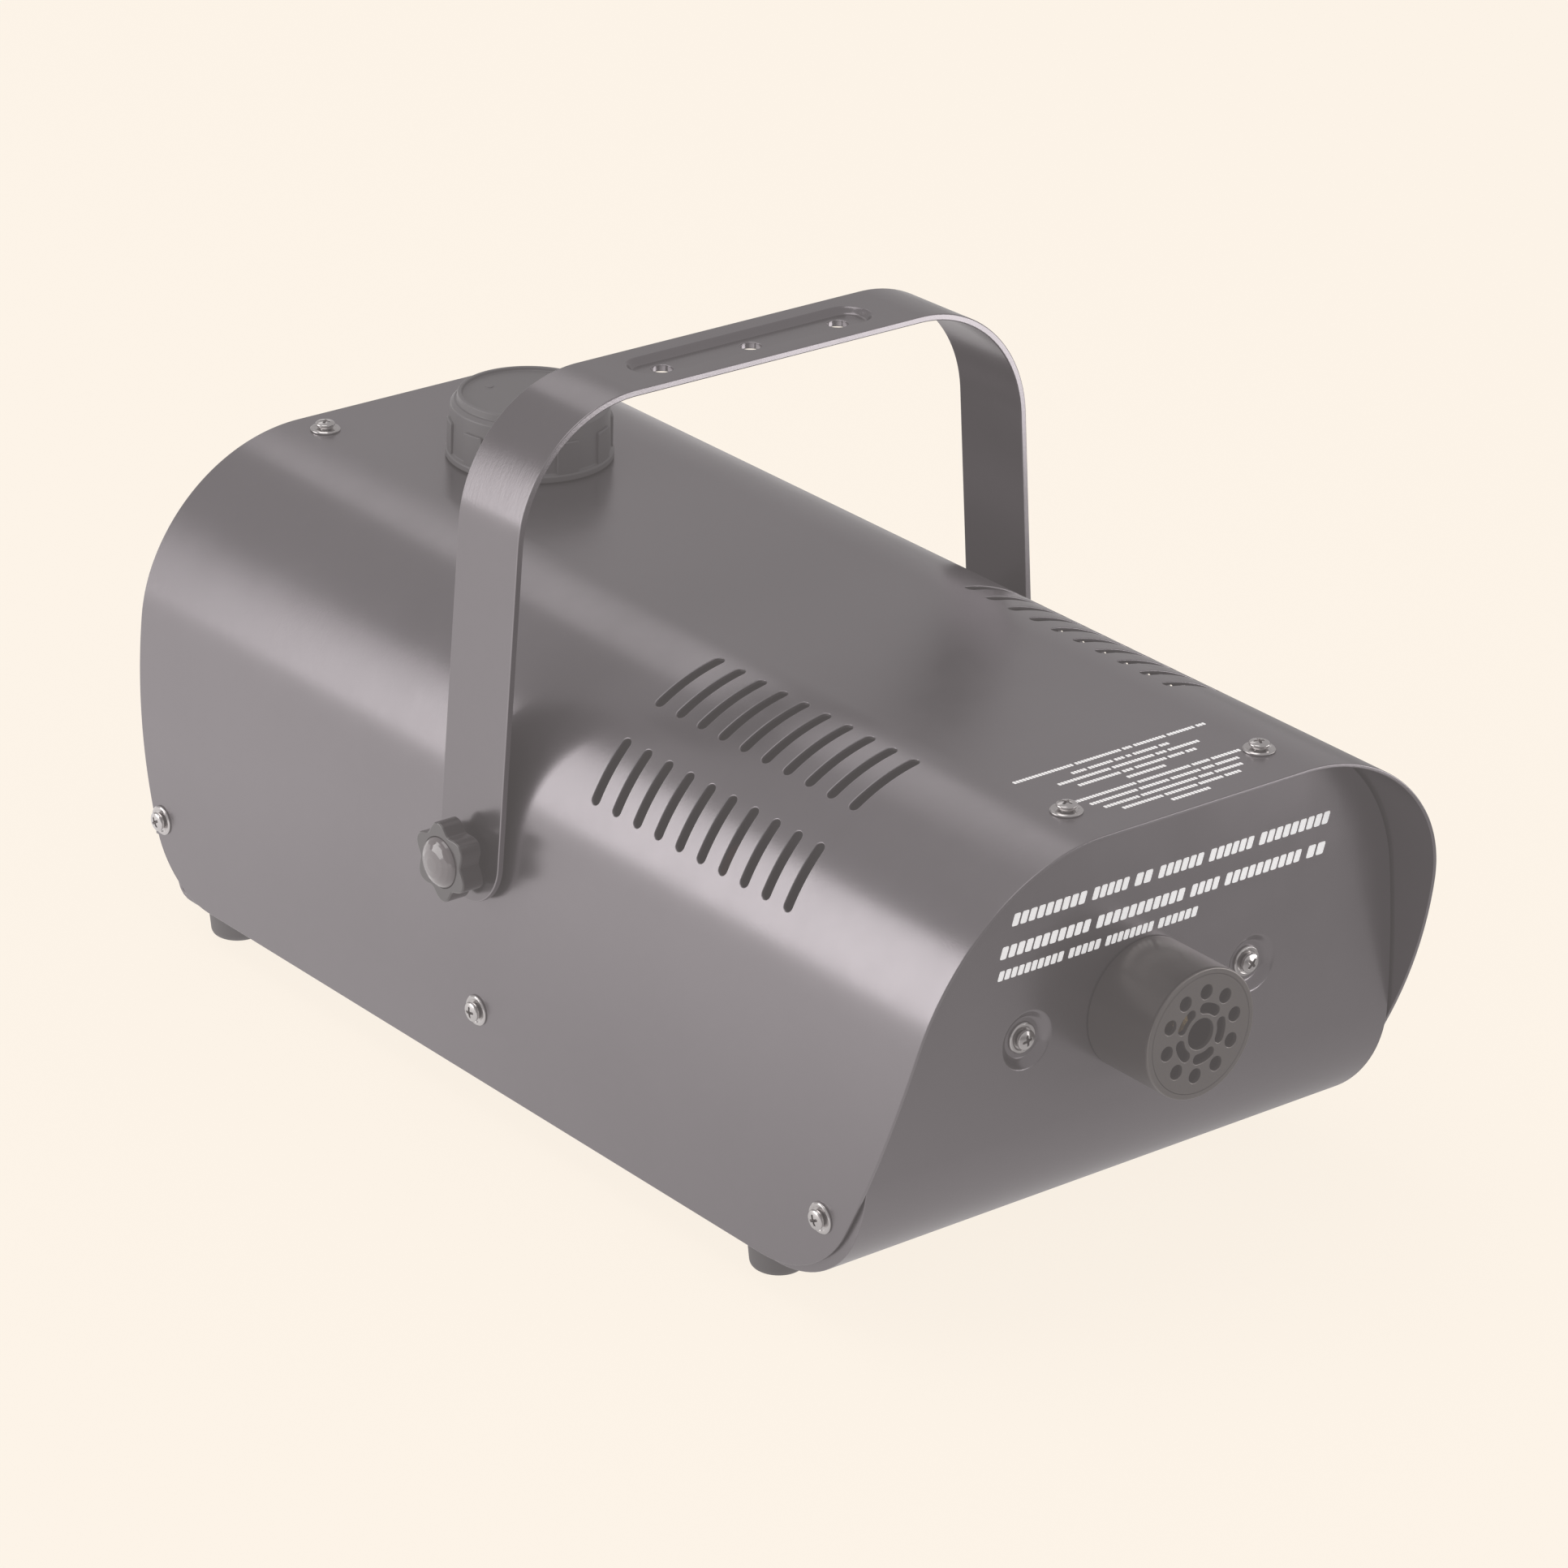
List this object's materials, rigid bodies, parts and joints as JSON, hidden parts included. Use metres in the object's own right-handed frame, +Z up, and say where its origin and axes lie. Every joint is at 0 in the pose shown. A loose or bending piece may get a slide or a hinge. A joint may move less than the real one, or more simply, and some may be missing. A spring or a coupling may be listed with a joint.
{
  "type": "fog machine",
  "caption": "Grey sheet-metal stage fog machine: front nozzle, slotted rounded cover, filler cap on top and a hanging bracket held by two black hand knobs.",
  "frame": {"origin": "on the floor under the middle of the machine's footprint, feet bottoms at z = 0", "axes": "+Z up, the nozzle looks along -Y, +X to the right seen from the front"},
  "size_m": [0.244, 0.403, 0.2347],
  "materials": {
    "grey_paint": "warm mid-grey satin paint",
    "bracket_paint": "grey satin metallic paint",
    "nozzle_metal": "dark olive-grey heat-stained satin",
    "screw_nickel": "bright nickel plate",
    "cap_plastic": "grey satin plastic",
    "knob_plastic": "black satin plastic",
    "gloss_black": "black gloss plastic",
    "black_plastic": "black matt plastic",
    "foot_rubber": "dark grey rubber",
    "seal_rubber": "black rubber",
    "hose_rubber": "translucent red-brown silicone",
    "tank_plastic": "natural white polyethylene",
    "brass": "machined brass",
    "stainless": "drawn stainless steel",
    "zinc_steel": "zinc-plated sheet steel",
    "cast_aluminium": "rough cast aluminium",
    "board": "green circuit board laminate"
  },
  "bodies": {
    "chassis": {"top_cover": "grey_paint", "base_tray": "grey_paint", "nozzle_shroud": "nozzle_metal", "nozzle_jet": "brass", "heater_block_upper": "cast_aluminium", "heater_block_lower": "cast_aluminium", "heater_tube": "stainless", "cartridge_heater_left": "stainless", "cartridge_heater_right": "stainless", "heater_front_bracket": "zinc_steel", "heater_rear_saddle": "zinc_steel", "heat_shield": "zinc_steel", "thermostat": "black_plastic", "thermal_fuse": "black_plastic", "pump_coil": "black_plastic", "pump_body": "brass", "pump_bracket": "zinc_steel", "pump_outlet": "brass", "suction_hose": "hose_rubber", "pressure_hose": "hose_rubber", "fluid_tank": "tank_plastic", "pickup_filter": "black_plastic", "circuit_board": "board", "board_transformer": "zinc_steel", "board_relay": "black_plastic", "terminal_block": "tank_plastic", "mains_inlet": "black_plastic", "fuse_holder": "black_plastic", "switch_body": "black_plastic", "remote_socket": "black_plastic", "knob_stud_left": "zinc_steel", "friction_washer_left": "seal_rubber", "knob_stud_right": "zinc_steel", "friction_washer_right": "seal_rubber", "top_screw_front_left": "screw_nickel", "top_screw_front_right": "screw_nickel", "top_screw_rear_left": "screw_nickel", "top_screw_rear_right": "screw_nickel", "side_screw_front_left": "screw_nickel", "side_screw_front_right": "screw_nickel", "side_screw_middle_left": "screw_nickel", "side_screw_middle_right": "screw_nickel", "side_screw_rear_left": "screw_nickel", "side_screw_rear_right": "screw_nickel", "panel_screw_left": "screw_nickel", "panel_screw_right": "screw_nickel", "foot_front_left": "foot_rubber", "foot_front_right": "foot_rubber", "foot_rear_left": "foot_rubber", "foot_rear_right": "foot_rubber"},
    "hanging_bracket": {"bracket": "bracket_paint"},
    "clamp_knob_left": {"knob_left": "knob_plastic", "knob_cap_left": "gloss_black"},
    "clamp_knob_right": {"knob_right": "knob_plastic", "knob_cap_right": "gloss_black"},
    "cap_carrier": {"cap_seal": "seal_rubber"},
    "filler_cap": {"tank_cap": "cap_plastic"},
    "power_switch": {"switch_rocker": "gloss_black"},
    "fuse_carrier": {"fuse_cap": "black_plastic"},
    "plunger": {"pump_plunger": "stainless"}
  },
  "joints": [
    {"name": "bracket_tilt", "type": "hinge", "parent": "chassis", "child": "hanging_bracket", "pos_m": [0, 0.0135, 0.0905], "axis": [1, 0, 0], "range_deg": [-38, 52]},
    {"name": "knob_left_turn", "type": "hinge", "parent": "chassis", "child": "clamp_knob_left", "pos_m": [-0.115, 0.0135, 0.0905], "axis": [-1, 0, 0], "range_deg": [0, 720]},
    {"name": "knob_right_turn", "type": "hinge", "parent": "chassis", "child": "clamp_knob_right", "pos_m": [0.115, 0.0135, 0.0905], "axis": [1, 0, 0], "range_deg": [0, 720]},
    {"name": "cap_lift", "type": "slide", "parent": "chassis", "child": "cap_carrier", "axis": [0, 0, 1], "range_m": [0, 0.006]},
    {"name": "cap_turn", "type": "hinge", "parent": "cap_carrier", "child": "filler_cap", "pos_m": [0.004, 0.1328, 0.17], "axis": [0, 0, 1], "range_deg": [0, 540]},
    {"name": "switch_rock", "type": "hinge", "parent": "chassis", "child": "power_switch", "pos_m": [0.012, 0.1798, 0.056], "axis": [0, 0, 1], "range_deg": [0, 16]},
    {"name": "fuse_cap_turn", "type": "hinge", "parent": "chassis", "child": "fuse_carrier", "pos_m": [-0.02, 0.1853, 0.056], "axis": [0, 1, 0], "range_deg": [0, 90]},
    {"name": "pump_stroke", "type": "slide", "parent": "chassis", "child": "plunger", "axis": [0, 1, 0], "range_m": [-0.002, 0.002], "stiffness_N_per_m": 300}
  ],
  "couplings": [
    {"joint": "cap_turn", "follows": "cap_lift", "rad_per_m": 1570.8}
  ]
}
